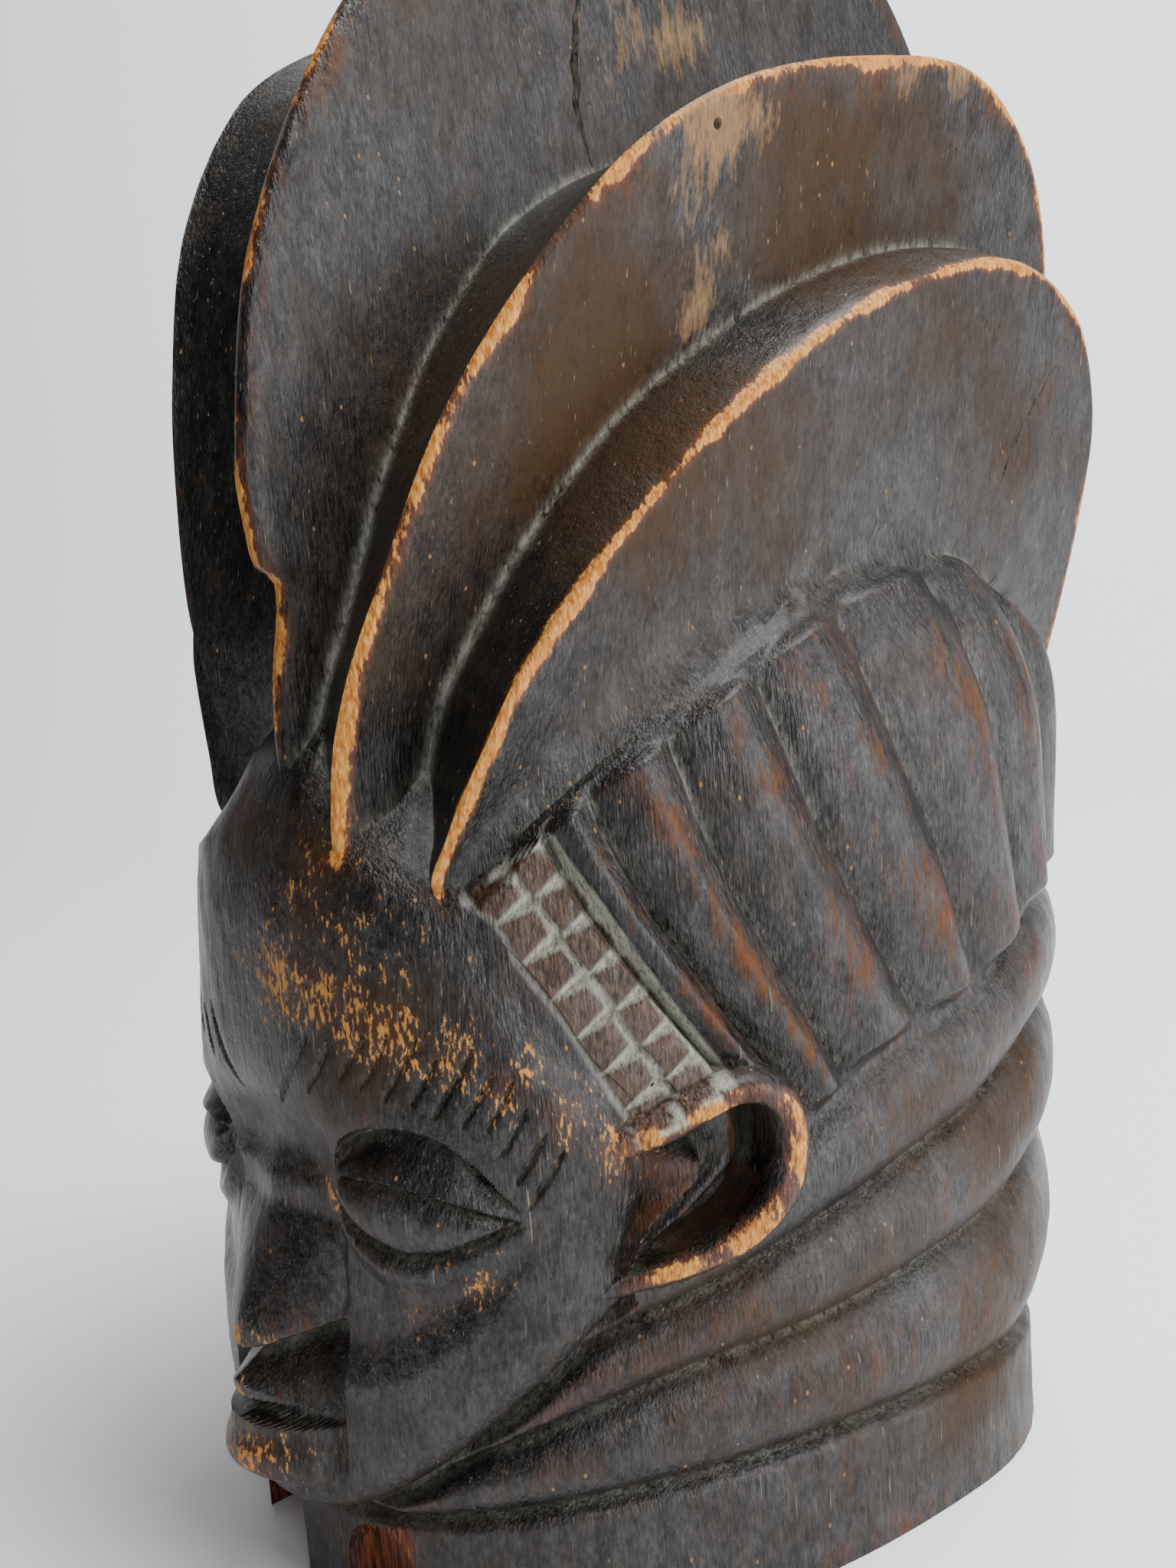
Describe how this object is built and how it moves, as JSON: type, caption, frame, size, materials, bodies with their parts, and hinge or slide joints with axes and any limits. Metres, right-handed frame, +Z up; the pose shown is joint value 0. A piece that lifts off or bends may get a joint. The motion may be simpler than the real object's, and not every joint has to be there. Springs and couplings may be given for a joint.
{
  "type": "carved wooden helmet mask",
  "caption": "Hollow carved wooden helmet mask, worn over the head, with tall crest lobes, pleated hair, ears, a calm face and ringed neck.",
  "frame": {"origin": "centre of the bounding box in plan, on the plane of the rim's underside", "axes": "+Z up through the crest, -Y the way the face looks, +X to the mask's own left"},
  "size_m": [0.2124, 0.326, 0.4829],
  "materials": {
    "carved_wood": "dark stained and worn, with a soft gloss"
  },
  "bodies": {
    "root": {"helmet_mask": "carved_wood"}
  },
  "joints": []
}
